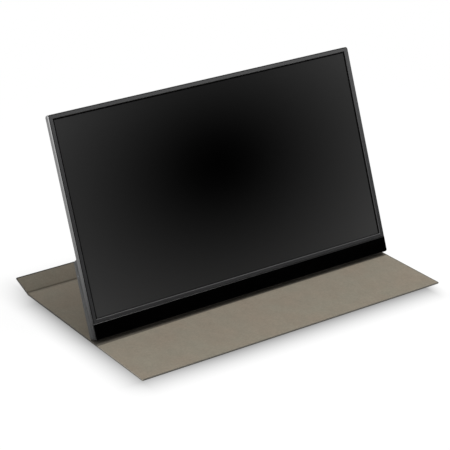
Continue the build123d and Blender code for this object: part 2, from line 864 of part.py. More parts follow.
# Flat screws that hold the brackets and bite into the recess floor
bracket_screw_spots = [
    (side * hinge_x + dx * leaf_width / 4, bracket_screw_height)
    for side in (-1, 1)
    for dx in (-1, 1)
]
flat_head = 0.25
with BuildPart() as bracket_screws:
    with BuildSketch(layer(recess_floor)):
        with Locations(*bracket_screw_spots):
            RegularPolygon(screw_radius, shank_sides)
    extrude(amount=-bracket_thickness)
    with BuildSketch(layer(recess_floor + bracket_thickness)):
        with Locations(*bracket_screw_spots):
            RegularPolygon(screw_head_radius, head_sides)
    extrude(amount=-flat_head)
save(bracket_screws, "bracket_screws")

# Stand plate: a thin plate with rounded lower corners, a sunk field framed by a rim,
# notches for the knuckles, pockets for the leaves and a tongue inside the rubber foot
stand_half = stand_width / 2
plate_top = -(barrel_radius + barrel_room)
plate_bottom = -stand_length + foot_radius
tongue_thickness = 1.2
tongue_end = -stand_length - foot_radius / 4
stand_corner = 5.0
field_margin = 9.0
field_depth = 0.4
field_top = plate_top - leaf_height - field_margin / 2
notch_half = leaf_width / 2 + knuckle_gap
with BuildPart() as stand_plate:
    with BuildSketch(stand_layer(-stand_front)):
        patch(-stand_half, stand_half, plate_bottom, plate_top)
        fillet(vertices().group_by(Axis.Y)[-1], radius=leaf_corner)
    extrude(amount=-stand_thickness)
    with BuildSketch(stand_layer(-tongue_thickness / 2)):
        patch(-stand_half + stand_corner, stand_half - stand_corner, tongue_end, plate_bottom)
    extrude(amount=-tongue_thickness)
    with BuildSketch(stand_layer(stand_thickness - stand_front)):
        patch(-stand_half + field_margin, stand_half - field_margin, plate_bottom + field_margin, field_top)
        fillet(vertices(), radius=stand_corner)
    extrude(amount=field_depth, mode=Mode.SUBTRACT)
    with BuildSketch(stand_layer(-stand_front)):
        for side in (-1, 1):
            x = side * hinge_x
            patch(x - notch_half, x + notch_half, plate_top - leaf_height - knuckle_gap, plate_top)
    extrude(amount=-leaf_thickness, mode=Mode.SUBTRACT)
    with BuildSketch(stand_layer(-stand_front)):
        for side in (-1, 1):
            x = side * hinge_x
            patch(
                x - knuckle_length / 2 - knuckle_gap,
                x + knuckle_length / 2 + knuckle_gap,
                plate_top - barrel_radius,
                plate_top,
            )
    extrude(amount=-stand_thickness, mode=Mode.SUBTRACT)
save(stand_plate, "stand_plate")

# Rubber foot: a round bead along the stand's lower edge, slotted for the tongue
bead_end = 0.6
with BuildPart() as stand_foot:
    with BuildSketch(stand_across(-stand_half)):
        with Locations((0, -stand_length)):
            Circle(foot_radius)
    extrude(amount=stand_width)
    chamfer(stand_foot.edges().filter_by(GeomType.CIRCLE), length=bead_end)
    with BuildSketch(stand_layer(-tongue_thickness / 2)):
        patch(-stand_half + stand_corner, stand_half - stand_corner, tongue_end, plate_bottom)
    extrude(amount=-tongue_thickness, mode=Mode.SUBTRACT)
save(stand_foot, "stand_foot")

# Stand leaves: thin steel leaves let into the plate, each rolled into two knuckles
leaf_screw_height = plate_top - leaf_height * 0.65
for side, name in ((-1, "stand_leaf_left"), (1, "stand_leaf_right")):
    x = side * hinge_x
    with BuildPart() as stand_leaf:
        with BuildSketch(stand_layer(-stand_front)):
            patch(x - leaf_width / 2, x + leaf_width / 2, plate_top - leaf_height, plate_top)
            fillet(vertices().group_by(Axis.Y)[0], radius=leaf_corner)
        extrude(amount=-leaf_thickness)
        for start, stop in (
            (x - leaf_width / 2, x - knuckle_length / 2 - knuckle_gap),
            (x + knuckle_length / 2 + knuckle_gap, x + leaf_width / 2),
        ):
            with BuildSketch(stand_across(start)):
                Circle(barrel_radius)
                with BuildLine():
                    Polyline(
                        (-stand_front, plate_top),
                        (-stand_front + leaf_thickness, plate_top),
                        (0, -barrel_radius * 0.9),
                        (0, 0),
                        (-barrel_radius * 0.9, 0),
                        close=True,
                    )
                make_face()
                Circle(pin_radius, mode=Mode.SUBTRACT)
            extrude(amount=stop - start)
        with BuildSketch(stand_layer(-stand_front)):
            patch(
                x - knuckle_length / 2 - knuckle_gap,
                x + knuckle_length / 2 + knuckle_gap,
                plate_top - barrel_radius,
                plate_top,
            )
        extrude(amount=-leaf_thickness, mode=Mode.SUBTRACT)
        with BuildSketch(stand_layer(-stand_front)):
            for dx in (-1, 1):
                with Locations((x + dx * leaf_width / 4, leaf_screw_height)):
                    RegularPolygon(screw_radius, shank_sides)
        extrude(amount=-leaf_thickness, mode=Mode.SUBTRACT)
    save(stand_leaf, name)

# Rivets that clench the stand leaves to the plate
with BuildPart() as leaf_rivets:
    with BuildSketch(stand_layer(-stand_front)):
        for side in (-1, 1):
            for dx in (-1, 1):
                with Locations((side * hinge_x + dx * leaf_width / 4, leaf_screw_height)):
                    RegularPolygon(screw_radius, shank_sides)
    extrude(amount=-leaf_thickness)
save(leaf_rivets, "leaf_rivets")

# Hinge pins, pressed into the stand's knuckles, with a rounded rim at each end
for side, name in ((-1, "hinge_pin_left"), (1, "hinge_pin_right")):
    with BuildPart() as hinge_pin:
        with BuildSketch(stand_across(side * hinge_x - leaf_width / 2)):
            Circle(pin_radius)
        extrude(amount=leaf_width)
        chamfer(hinge_pin.edges().filter_by(GeomType.CIRCLE), length=knuckle_gap)
    save(hinge_pin, name)

# Cover: outer skin with its edges turned up round the board, board, magnets and lining
inner_half = cover_width / 2 - turned_edge
panel_rear = crease_y - fold_gap


def panel(half, front, rear, corner):
    """Rectangle of a cover sheet with its two front corners rounded."""
    with Locations((0, (front + rear) / 2)):
        Rectangle(2 * half, rear - front)
    fillet(vertices().group_by(Axis.Y)[0], radius=corner)


def closure_spots():
    """Places of the magnets along the front edge of the cover."""
    return GridLocations(closure_magnet_pitch, 1, closure_magnet_count, 1)


with BuildPart() as cover_outer_skin:
    with BuildSketch(Plane.XY):
        panel(cover_width / 2, cover_front_y, panel_rear, cover_corner)
    extrude(amount=cover_thickness)
    with BuildSketch(Plane.XY.offset(skin_thickness)):
        panel(inner_half, cover_front_y + turned_edge, panel_rear + turned_edge, cover_corner - turned_edge)
    extrude(amount=cover_thickness, mode=Mode.SUBTRACT)
save(cover_outer_skin, "cover_outer_skin")

board_front_y = cover_front_y + turned_edge
closure_y = board_front_y + closure_magnet_inset
with BuildPart() as cover_board:
    with BuildSketch(Plane.XY.offset(skin_thickness)):
        panel(inner_half, board_front_y, crease_y - groove, cover_corner - turned_edge)
    extrude(amount=board_thickness)
    with BuildSketch(Plane.XY.offset(skin_thickness + board_thickness)):
        with Locations((0, closure_y)):
            with closure_spots():
                Rectangle(
                    closure_magnet_length + 2 * magnet_clearance,
                    closure_magnet_width + 2 * magnet_clearance,
                )
    extrude(amount=-magnet_thickness, mode=Mode.SUBTRACT)
save(cover_board, "cover_board")

with BuildPart() as closure_magnets:
    with BuildSketch(Plane.XY.offset(skin_thickness + board_thickness)):
        with Locations((0, closure_y)):
            with closure_spots():
                Rectangle(closure_magnet_length, closure_magnet_width)
    extrude(amount=-magnet_thickness)
save(closure_magnets, "closure_magnets")

with BuildPart() as cover_lining:
    with BuildSketch(Plane.XY.offset(cover_thickness - lining_thickness)):
        panel(inner_half, board_front_y, panel_rear, cover_corner - turned_edge)
    extrude(amount=lining_thickness)
save(cover_lining, "cover_lining")

# Attachment strip: the same layers beyond the crease, with a row of bar magnets
strip_inner = strip_length - turned_edge
with BuildPart() as strip_outer_skin:
    with BuildSketch(strip_face):
        with Locations((0, (fold_gap + strip_length) / 2)):
            Rectangle(cover_width, strip_length - fold_gap)
        fillet(vertices().group_by(Axis.Y)[-1], radius=cover_corner)
    extrude(amount=-cover_thickness)
    with BuildSketch(strip_face):
        with Locations((0, strip_inner / 2)):
            Rectangle(2 * inner_half, strip_inner)
    extrude(amount=-(cover_thickness - skin_thickness), mode=Mode.SUBTRACT)
save(strip_outer_skin, "strip_outer_skin")

board_level = lining_thickness
with BuildPart() as strip_board:
    with BuildSketch(strip_face.offset(-board_level)):
        with Locations((0, (groove + strip_inner) / 2)):
            Rectangle(2 * inner_half, strip_inner - groove)
    extrude(amount=-board_thickness)
    with BuildSketch(strip_face.offset(-board_level)):
        with Locations((0, (groove + strip_inner) / 2)):
            with GridLocations(strip_magnet_pitch, 1, strip_magnet_count, 1):
                Rectangle(
                    strip_magnet_length + 2 * magnet_clearance,
                    strip_magnet_width + 2 * magnet_clearance,
                )
    extrude(amount=-magnet_thickness, mode=Mode.SUBTRACT)
save(strip_board, "strip_board")

with BuildPart() as strip_magnets:
    with BuildSketch(strip_face.offset(-board_level)):
        with Locations((0, (groove + strip_inner) / 2)):
            with GridLocations(strip_magnet_pitch, 1, strip_magnet_count, 1):
                Rectangle(strip_magnet_length, strip_magnet_width)
    extrude(amount=-magnet_thickness)
save(strip_magnets, "strip_magnets")

with BuildPart() as strip_lining:
    with BuildSketch(strip_face):
        with Locations((0, (fold_gap + strip_inner) / 2)):
            Rectangle(2 * inner_half, strip_inner - fold_gap)
    extrude(amount=-lining_thickness)
save(strip_lining, "strip_lining")
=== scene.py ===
import json
from math import cos, pi, radians, sin

import bpy
from mathutils import Matrix, Vector


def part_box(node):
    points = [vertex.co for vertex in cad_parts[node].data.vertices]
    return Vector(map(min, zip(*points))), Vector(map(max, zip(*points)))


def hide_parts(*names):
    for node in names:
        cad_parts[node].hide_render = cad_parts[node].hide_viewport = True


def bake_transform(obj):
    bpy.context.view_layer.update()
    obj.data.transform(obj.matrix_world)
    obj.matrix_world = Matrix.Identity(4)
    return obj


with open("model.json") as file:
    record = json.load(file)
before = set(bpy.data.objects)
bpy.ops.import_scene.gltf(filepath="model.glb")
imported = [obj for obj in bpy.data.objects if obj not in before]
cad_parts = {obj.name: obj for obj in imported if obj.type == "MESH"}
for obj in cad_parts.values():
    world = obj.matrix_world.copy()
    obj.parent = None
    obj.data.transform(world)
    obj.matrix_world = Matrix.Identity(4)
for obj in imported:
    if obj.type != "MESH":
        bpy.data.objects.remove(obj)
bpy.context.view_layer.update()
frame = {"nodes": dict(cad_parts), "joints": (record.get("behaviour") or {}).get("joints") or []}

# A portable monitor on its stand and its opened folio cover, in metres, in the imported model's frame
MM = 0.001
RIGHT = Vector((1, 0, 0))
BACK = Vector((0, 1, 0))
UP = Vector((0, 0, 1))

# The photograph's camera, fitted to the corners of the screen, the chin and the cover
IMAGE_SIZE = 450
SENSOR = 36.0
FOCAL_PIXELS = 1730.2
CAMERA_PLACE = Vector((-0.89547, -1.32508, 0.76898))
AZIMUTH = radians(-33.991)
ELEVATION = radians(23.691)
ROLL = radians(-0.68)
NEAREST_SEEN = 0.05
FARTHEST_SEEN = 20

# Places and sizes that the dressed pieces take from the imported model
joints = {row["name"]: row for row in frame["joints"]}
cover_low, cover_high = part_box("cover_outer_skin")
cover_half = cover_high.x
strip_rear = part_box("strip_outer_skin")[1].y
crease = Vector(joints["cover_fold"]["pos_m"])
strip_rise = -radians(joints["cover_fold"]["range_deg"][0])
lean = -radians(joints["monitor_recline"]["range_deg"][0])
face_up = Vector((0, sin(lean), cos(lean)))
face_out = Vector((0, -cos(lean), sin(lean)))


def reach(node, direction):
    """How far a node reaches along a direction from the frame's origin."""
    return max(direction.dot(v.co) for v in frame["nodes"][node].data.vertices)


# The monitor's front face, from its lowest edge, and where the monitor rests on the lining
REST_BEHIND_AXIS = 2.0 * MM
face_origin = face_out * reach("front_bezel", face_out) - face_up * reach("chin_panel", -face_up)
face_top = reach("front_bezel", face_up) - face_up.dot(face_origin)
bezel_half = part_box("front_bezel")[1].x
rest_axis = Vector(joints["monitor_recline"]["pos_m"])
rest_front = rest_axis.y - (reach("front_bezel", face_out) - face_out.dot(rest_axis))
rest_rear = rest_axis.y + REST_BEHIND_AXIS


def grey(level):
    """A neutral colour."""
    return (level, level, level)


def opaque(colour):
    """A colour as a socket takes it, with full opacity."""
    return (*colour, 1)


# Most of a noise's values lie between these two
NOISE_LOW = 0.3
NOISE_HIGH = 0.7

# Sockets of a mix node that mixes colours
MIX_SHARE = 0
MIX_FIRST = 6
MIX_SECOND = 7
MIX_RESULT = 2


class Tree:
    """The node tree of a material or of the world, with a call for each step used here."""

    def __init__(self, owner, coordinates, emptied=False):
        owner.use_nodes = True
        self.nodes = owner.node_tree.nodes
        self.links = owner.node_tree.links
        if emptied:
            self.nodes.clear()
        self.place = self.node("TexCoord", {}, coordinates)

    def node(self, kind, inputs, output=0, **settings):
        """One of the outputs of a new node that gets these settings and inputs."""
        node = self.nodes.new("ShaderNode" + kind)
        for name, value in settings.items():
            setattr(node, name, value)
        for socket, value in inputs.items():
            if isinstance(value, bpy.types.NodeSocket):
                self.links.new(value, node.inputs[socket])
            else:
                node.inputs[socket].default_value = value
        return node.outputs[output]

    def end(self, kind, shader):
        """The tree's output, which shows a shader."""
        node = self.nodes.new("ShaderNode" + kind)
        self.links.new(shader, node.inputs["Surface"])

    def ray(self, kind):
        """1 for rays of a kind, otherwise 0."""
        return self.node("LightPath", {}, kind)

    def math(self, operation, a, b=0.0, clamped=False):
        """One arithmetic step on values."""
        return self.node("Math", {0: a, 1: b}, operation=operation, use_clamp=clamped)

    def product(self, first, *others):
        """Several values multiplied."""
        for other in others:
            first = self.math("MULTIPLY", first, other)
        return first

    def largest(self, first, *others):
        """The largest of several values."""
        for other in others:
            first = self.math("MAXIMUM", first, other)
        return first

    def span(self, value, low, high, to_low=0.0, to_high=1.0, smooth=False):
        """A value mapped from one span to another, and held at its ends."""
        shape = "SMOOTHSTEP" if smooth else "LINEAR"
        inputs = {"Value": value, "From Min": low, "From Max": high, "To Min": to_low, "To Max": to_high}
        return self.node("MapRange", inputs, "Result", interpolation_type=shape)

    def along(self, direction, origin=Vector()):
        """Distance from a point along a direction, in metres."""
        dot = self.node("VectorMath", {0: self.place, 1: direction}, "Value", operation="DOT_PRODUCT")
        return self.math("SUBTRACT", dot, direction.dot(origin))

    def mixed(self, share, first, second):
        """Two shaders, the share being the second one's."""
        return self.node("MixShader", {0: share, 1: first, 2: second})


class Finish(Tree):
    """A procedural material: one Principled shader fed by noises in the frame's coordinates."""

    def __init__(self, name, colour, roughness, metallic=0.0, specular=0.5):
        self.material = bpy.data.materials.new(name)
        super().__init__(self.material, "Object")
        self.shader = self.nodes["Principled BSDF"]
        self.set("Base Color", opaque(colour))
        self.set("Roughness", roughness)
        self.set("Metallic", metallic)
        self.set("Specular IOR Level", specular)
        self.normal = None

    def set(self, socket, value):
        """A value that is the same all over the surface."""
        self.shader.inputs[socket].default_value = value

    def drive(self, socket, value):
        """A value that changes over the surface."""
        self.links.new(value, self.shader.inputs[socket])

    def stretched(self, scale, tilt=0.0):
        """Coordinates scaled along x, y and z, after a turn about x."""
        inputs = {"Vector": self.place, "Rotation": (tilt, 0, 0), "Scale": scale}
        return self.node("Mapping", inputs, "Vector", vector_type="TEXTURE")

    def noise(self, size, detail=3.0, rough=0.5, vector=None):
        """Cloudy noise from 0 to 1 whose features measure about size."""
        inputs = {"Vector": vector or self.place, "Scale": 1 / size, "Detail": detail, "Roughness": rough}
        return self.node("TexNoise", inputs, "Fac")

    def cells(self, size, feature="F1"):
        """Distance within rounded cells that measure about size."""
        inputs = {"Vector": self.place, "Scale": 1 / size}
        return self.node("TexVoronoi", inputs, "Distance", feature=feature)

    def spread(self, noise, low, high):
        """A noise spread over a range."""
        return self.span(noise, NOISE_LOW, NOISE_HIGH, low, high)

    def blend(self, share, dark, light):
        """A colour between two colours, each plain or made by nodes."""
        inputs = {MIX_SHARE: share}
        for socket, colour in ((MIX_FIRST, dark), (MIX_SECOND, light)):
            made = isinstance(colour, bpy.types.NodeSocket)
            inputs[socket] = colour if made else opaque(colour)
        return self.node("Mix", inputs, MIX_RESULT, data_type="RGBA")

    def tint(self, share, dark, light):
        """The surface's colour, between two colours."""
        self.drive("Base Color", self.blend(share, dark, light))

    def gloss(self, share, low, high):
        """The surface's roughness, between two values."""
        self.drive("Roughness", self.span(share, 0, 1, low, high))

    def soften(self, radius):
        """Edges shaded as if slightly rounded."""
        self.normal = self.node("Bevel", {"Radius": radius}, "Normal", samples=4)
        self.drive("Normal", self.normal)

    def bump(self, height, depth, strength=1.0):
        """Relief of a real depth, laid over any relief made before."""
        inputs = {"Height": height, "Distance": depth, "Strength": strength}
        if self.normal is not None:
            inputs["Normal"] = self.normal
        self.normal = self.node("Bump", inputs, "Normal")
        self.drive("Normal", self.normal)


# The bezel's bare edges, darker towards the bottom as painted shade, and painted shade in a line beside the
# left edge and along the rim at the top and right
BARE_LEFT = 0.65 * MM
BARE_RIGHT = 0.25 * MM
BARE_BEHIND = 0.5 * MM
BARE_SHADE_FADE = 190 * MM
BARE_SHADED_LEVEL = 0.08
BARE_LIT_LEVEL = 0.5
PAINTED_SHADE_LINE = 1.4 * MM
PAINTED_SHADE_RIM = 0.9 * MM
PAINTED_SHADE_LEVEL = 0.01
EDGE_METALLIC = 0.85
EDGE_BLUR = 0.05 * MM


def bezel_finish():
    """Satin grey paint with a fine tooth, on metal that is bare on the left and, behind the face, on the
    right. Painted shade darkens a line beside the left edge and the rim at the top and right, and the bare
    metal towards the bottom."""
    finish = Finish("bezel_paint", colour=grey(0.035), roughness=0.16, specular=0.8)
    tooth = finish.noise(size=0.35 * MM, detail=2)
    clouds = finish.noise(size=30 * MM, detail=2)
    mottle = finish.product(tooth, clouds)
    paint = finish.blend(mottle, dark=(0.031, 0.031, 0.032), light=(0.040, 0.040, 0.041))

    leftward = finish.along(-RIGHT)
    rightward = finish.along(RIGHT)
    height = finish.along(face_up, face_origin)
    depth = finish.along(-face_out, face_origin)

    def past(distance, limit):
        return finish.span(distance, limit, limit + EDGE_BLUR)

    right_side = finish.product(past(rightward, bezel_half - BARE_RIGHT), past(depth, BARE_BEHIND))
    bare = finish.largest(past(leftward, bezel_half - BARE_LEFT), right_side)
    # Painted shade: a dark line beside the left edge and a dark rim at the top and right
    rim = finish.largest(past(rightward, bezel_half - PAINTED_SHADE_RIM), past(height, face_top - PAINTED_SHADE_RIM))
    dark = finish.largest(past(leftward, bezel_half - PAINTED_SHADE_LINE), rim)
    shade_lined = finish.blend(dark, paint, grey(PAINTED_SHADE_LEVEL))
    # Painted shade: the bare metal is darker towards the bottom
    rise = finish.span(height, face_top - BARE_SHADE_FADE, face_top)
    metal = finish.blend(rise, grey(BARE_SHADED_LEVEL), grey(BARE_LIT_LEVEL))
    finish.tint(bare, shade_lined, metal)
    finish.drive("Metallic", finish.product(finish.largest(bare, dark), EDGE_METALLIC))
    finish.gloss(bare, low=0.16, high=0.2)
    finish.soften(radius=0.15 * MM)
    finish.bump(tooth, depth=0.01 * MM, strength=0.4)
    return finish


def chin_finish():
    """Glossy black acrylic, all but free of texture, with the faintest ripple."""
    finish = Finish("chin_acrylic", colour=grey(0.0015), roughness=0.07)
    ripple = finish.noise(size=9 * MM, detail=1)
    finish.gloss(ripple, low=0.05, high=0.09)
    finish.tint(ripple, dark=grey(0.0003), light=grey(0.0007))
    finish.bump(ripple, depth=0.004 * MM, strength=0.5)
    return finish


# The active area, and the painted light on it that is darkest near the middle and paler towards the
# corners, on the screen's face
ACTIVE_HALF = 171.75 * MM
ACTIVE_LOW = 20.7 * MM
ACTIVE_HIGH = 213.9 * MM
DARKEST_LEFT = 3 * MM
DARKEST_UP = 135 * MM
SCREEN_SQUASH = 1.42
SCREEN_REACH = 228 * MM
SCREEN_FALLOFF = 1.88
SCREEN_CENTRE_LEVEL = 0.0002
SCREEN_CORNER_LEVEL = 0.045
SCREEN_BORDER_LEVEL = 0.002


def screen_finish():
    """Matt screen glass, black in the middle and, as painted light, paler towards its corners; black beyond
    the active area.
    """
    finish = Finish("screen_glass", colour=grey(0.004), roughness=0.3, specular=0.01)
    darkest = face_origin - RIGHT * DARKEST_LEFT + face_up * DARKEST_UP
    across = finish.along(RIGHT, darkest)
    upward = finish.product(finish.along(face_up, darkest), SCREEN_SQUASH)
    squares = [finish.math("POWER", finish.math("ABSOLUTE", part), 2.0) for part in (across, upward)]
    distance = finish.math("POWER", finish.math("ADD", *squares), 0.5)
    # Painted light: the colour pales with distance from the darkest point
    painted_glow = finish.math("POWER", finish.span(distance, 0, SCREEN_REACH), SCREEN_FALLOFF)
    active = finish.blend(painted_glow, grey(SCREEN_CENTRE_LEVEL), grey(SCREEN_CORNER_LEVEL))
    height = finish.along(face_up, face_origin)
    outside = finish.largest(
        finish.math("GREATER_THAN", finish.math("ABSOLUTE", finish.along(RIGHT)), ACTIVE_HALF),
        finish.math("LESS_THAN", height, ACTIVE_LOW),
        finish.math("GREATER_THAN", height, ACTIVE_HIGH),
    )
    finish.tint(outside, active, grey(SCREEN_BORDER_LEVEL))
    finish.bump(finish.noise(size=0.12 * MM, detail=1), depth=0.004 * MM, strength=0.3)
    return finish


def metal_finish(name, level, roughness, grain, tilt):
    """Anodised metal: a blasted tooth under faint brushing along x."""
    finish = Finish(name, colour=grey(level), roughness=roughness, metallic=0.85)
    tooth = finish.noise(size=0.25 * MM, detail=2)
    brushed = finish.noise(size=0.5 * MM, detail=2, vector=finish.stretched((grain, 1, 1), tilt))
    clouds = finish.noise(size=45 * MM, detail=2)
    finish.tint(brushed, dark=grey(level * 0.9), light=grey(level * 1.12))
    finish.gloss(finish.product(clouds, brushed), low=roughness - 0.05, high=roughness + 0.12)
    finish.soften(radius=0.2 * MM)
    finish.bump(tooth, depth=0.008 * MM, strength=0.35)
    finish.bump(brushed, depth=0.006 * MM, strength=0.25)
    return finish


def steel_finish():
    """Bright pressed steel with long fine scratches."""
    finish = Finish("bright_steel", colour=grey(0.5), roughness=0.3, metallic=1.0)
    scratches = finish.noise(size=0.35 * MM, detail=3, vector=finish.stretched((18, 1, 1)))
    clouds = finish.noise(size=4 * MM, detail=3)
    finish.tint(clouds, dark=grey(0.42), light=grey(0.58))
    finish.gloss(scratches, low=0.2, high=0.42)
    finish.soften(radius=0.12 * MM)
    finish.bump(scratches, depth=0.01 * MM, strength=0.3)
    return finish


def plastic_finish(name, level, tooth_size):
    """Moulded plastic with a spark-eroded texture."""
    finish = Finish(name, colour=grey(level), roughness=0.5)
    tooth = finish.noise(tooth_size, detail=4, rough=0.6)
    clouds = finish.noise(size=25 * MM, detail=2)
    finish.tint(clouds, dark=grey(level * 0.9), light=grey(level * 1.1))
    finish.gloss(tooth, low=0.44, high=0.6)
    finish.soften(radius=0.15 * MM)
    finish.bump(tooth, depth=0.02 * MM, strength=0.4)
    return finish


def rubber_finish():
    """Soft black rubber with a dull bloom."""
    finish = Finish("black_rubber", colour=grey(0.014), roughness=0.75, specular=0.35)
    bloom = finish.noise(size=3 * MM, detail=4)
    finish.tint(bloom, dark=grey(0.011), light=grey(0.020))
    finish.gloss(bloom, low=0.66, high=0.86)
    finish.bump(finish.noise(size=0.3 * MM, detail=3), depth=0.02 * MM, strength=0.4)
    return finish


def film_finish():
    """White diffusing film with a faint dot pattern."""
    finish = Finish("diffuser_film", colour=grey(0.75), roughness=0.5)
    finish.tint(finish.cells(size=1.2 * MM), dark=grey(0.70), light=grey(0.82))
    return finish


def board_finish():
    """Circuit board: solder mask over fine tracks."""
    finish = Finish("circuit_board", colour=(0.010, 0.045, 0.022), roughness=0.35)
    tracks = finish.cells(size=2.5 * MM, feature="DISTANCE_TO_EDGE")
    edge = finish.span(tracks, low=0.04, high=0.07)
    finish.tint(edge, dark=(0.018, 0.085, 0.040), light=(0.008, 0.036, 0.018))
    finish.bump(edge, depth=0.03 * MM, strength=0.5)
    return finish


def tape_finish():
    """Matt black tape."""
    finish = Finish("black_tape", colour=grey(0.004), roughness=0.6)
    finish.tint(finish.noise(size=2 * MM), dark=grey(0.003), light=grey(0.006))
    return finish


def light_finish():
    """Clear light pipe, dark while the monitor is off."""
    finish = Finish("light_pipe", colour=(0.35, 0.36, 0.38), roughness=0.15)
    finish.set("Coat Weight", 0.4)
    finish.tint(finish.noise(size=0.6 * MM), dark=(0.26, 0.27, 0.29), light=(0.42, 0.43, 0.45))
    return finish


# Painted light on the skin: painted shade at the strip's end, and a painted highlight along the cover's
# left edge in front of the monitor
SKIN_END_START = 3.0 * MM
SKIN_END_FULL = 2.5 * MM
SKIN_END_SHADE_COLOUR = (0.030, 0.027, 0.023)
HIGHLIGHT_START = 1.3 * MM
HIGHLIGHT_FULL = 1.1 * MM
HIGHLIGHT_FADE = 4.0 * MM
HIGHLIGHT_COLOUR = (0.30, 0.27, 0.225)


def skin_finish():
    """Grey-brown artificial leather with a fine pebble grain, with painted shade at the strip's end and a
    painted highlight along the left edge in front of the monitor.
    """
    finish = Finish("folio_leather", colour=(0.125, 0.115, 0.098), roughness=0.6, specular=0.25)
    pebbles = finish.cells(size=0.9 * MM)
    folds = finish.noise(size=4 * MM, detail=4, rough=0.6)
    clouds = finish.noise(size=60 * MM, detail=3)
    mottle = finish.product(clouds, folds)
    leather = finish.blend(mottle, dark=(0.110, 0.101, 0.086), light=(0.155, 0.142, 0.121))
    across = finish.along(RIGHT)
    depth = finish.along(BACK)
    # Painted shade: the leather darkens at the strip's end
    end = finish.span(depth, strip_rear - SKIN_END_START, strip_rear - SKIN_END_FULL)
    painted_end_shade = finish.blend(end, leather, SKIN_END_SHADE_COLOUR)
    # Painted highlight: the leather is paler along the left edge, in front of the monitor
    side = finish.span(across, -cover_half + HIGHLIGHT_START, -cover_half + HIGHLIGHT_FULL)
    fore = finish.span(depth, rest_front, rest_front - HIGHLIGHT_FADE)
    finish.tint(finish.product(side, fore), painted_end_shade, HIGHLIGHT_COLOUR)
    finish.gloss(pebbles, low=0.48, high=0.66)
    finish.bump(folds, depth=0.05 * MM, strength=0.4)
    finish.bump(pebbles, depth=0.06 * MM, strength=0.5)
    return finish


# Where the lining is darker from painted shade and, at the crease, from wear, and its tones there as shares
# of its plain colour
GROOVE_PLACE = 2.4 * MM
CREASE_TONE = 0.6
CREASE_FLOOR = 0.4 * MM
CREASE_WEAR_AND_SHADE = 2.2 * MM
STRIP_SHADE_TONE = 0.78
END_SHADE_TONE = 0.45
END_START = 2.2 * MM
END_FULL = 2.0 * MM
REST_SHADE_TONE = 0.4
REST_EDGE = 1.0 * MM
REST_SPREAD = 2.5 * MM
REST_SPREAD_END = -30 * MM


def lining_tones(finish):
    """The lining's tone, with painted shade: darker in the groove just past the crease, where the suede is
    also worn, on the strip, at the strip's end, and under the monitor."""
    across = finish.along(RIGHT)
    depth = finish.along(BACK)
    beyond = finish.along(BACK, crease + BACK * GROOVE_PLACE)
    apart = finish.math("ABSOLUTE", beyond)
    # Painted shade and wear: darker in the groove past the crease
    crease_wear_and_shade = finish.span(apart, CREASE_FLOOR, CREASE_WEAR_AND_SHADE, CREASE_TONE, 1, smooth=True)
    # Painted shade: the lining is darker on the strip
    painted_strip_shade = finish.span(beyond, 0, CREASE_WEAR_AND_SHADE, 1, STRIP_SHADE_TONE)
    # Painted shade at the strip's end
    painted_end_shade = finish.span(depth, strip_rear - END_START, strip_rear - END_FULL, 1, END_SHADE_TONE)
    # Painted shade under the monitor, reaching further forward towards the left
    ahead = finish.span(across, -cover_half, REST_SPREAD_END, REST_SPREAD, 0)
    front = finish.math("ADD", depth, ahead)
    behind_front = finish.span(front, rest_front, rest_front + REST_EDGE, smooth=True)
    before_rear = finish.span(depth, rest_rear, rest_rear - REST_EDGE, smooth=True)
    painted_rest_shade = finish.span(finish.product(behind_front, before_rear), 0, 1, 1, REST_SHADE_TONE)
    return finish.product(crease_wear_and_shade, painted_strip_shade, painted_rest_shade, painted_end_shade)


def lining_finish():
    """Taupe suede: short fibres, soft blotches and a nap, with painted shade on the strip, at the crease,
    at the strip's end and under the monitor.
    """
    finish = Finish("folio_suede", colour=(0.25, 0.222, 0.181), roughness=0.95, specular=0.15)
    fibres = finish.noise(size=0.45 * MM, detail=4, rough=0.7)
    tufts = finish.noise(size=2.2 * MM, detail=4, rough=0.65)
    nap = finish.noise(size=11 * MM, detail=3, rough=0.6, vector=finish.stretched((1, 1.6, 1)))
    blotches = finish.noise(size=38 * MM, detail=3, rough=0.55)
    tone = finish.product(
        finish.spread(fibres, low=0.85, high=1.1),
        finish.spread(tufts, low=0.9, high=1.08),
        finish.spread(nap, low=0.96, high=1.04),
        lining_tones(finish),
    )
    patches = finish.span(blotches, low=0.35, high=0.65)
    warm = finish.blend(patches, dark=(0.254, 0.215, 0.165), light=(0.246, 0.222, 0.173))
    finish.drive("Base Color", finish.node("VectorMath", {0: warm, "Scale": tone}, operation="SCALE"))
    finish.set("Sheen Weight", 0.25)
    finish.set("Sheen Roughness", 0.5)
    finish.set("Sheen Tint", (0.9, 0.85, 0.78, 1))
    finish.bump(tufts, depth=0.12 * MM, strength=0.5)
    finish.bump(fibres, depth=0.1 * MM, strength=0.5)
    return finish


def card_finish():
    """Grey board inside the cover, with its pressed fibres."""
    finish = Finish("cover_card", colour=(0.16, 0.145, 0.125), roughness=0.9, specular=0.2)
    fibres = finish.noise(size=1.5 * MM, detail=5, rough=0.7)
    finish.tint(fibres, dark=(0.12, 0.11, 0.095), light=(0.20, 0.18, 0.155))
    finish.bump(finish.noise(size=1.0 * MM, detail=4), depth=0.05 * MM, strength=0.5)
    return finish


def magnet_finish():
    """Nickel-plated magnet."""
    finish = Finish("nickel_plate", colour=(0.42, 0.41, 0.39), roughness=0.25, metallic=1.0)
    finish.gloss(finish.noise(size=2 * MM, detail=3), low=0.18, high=0.36)
    return finish


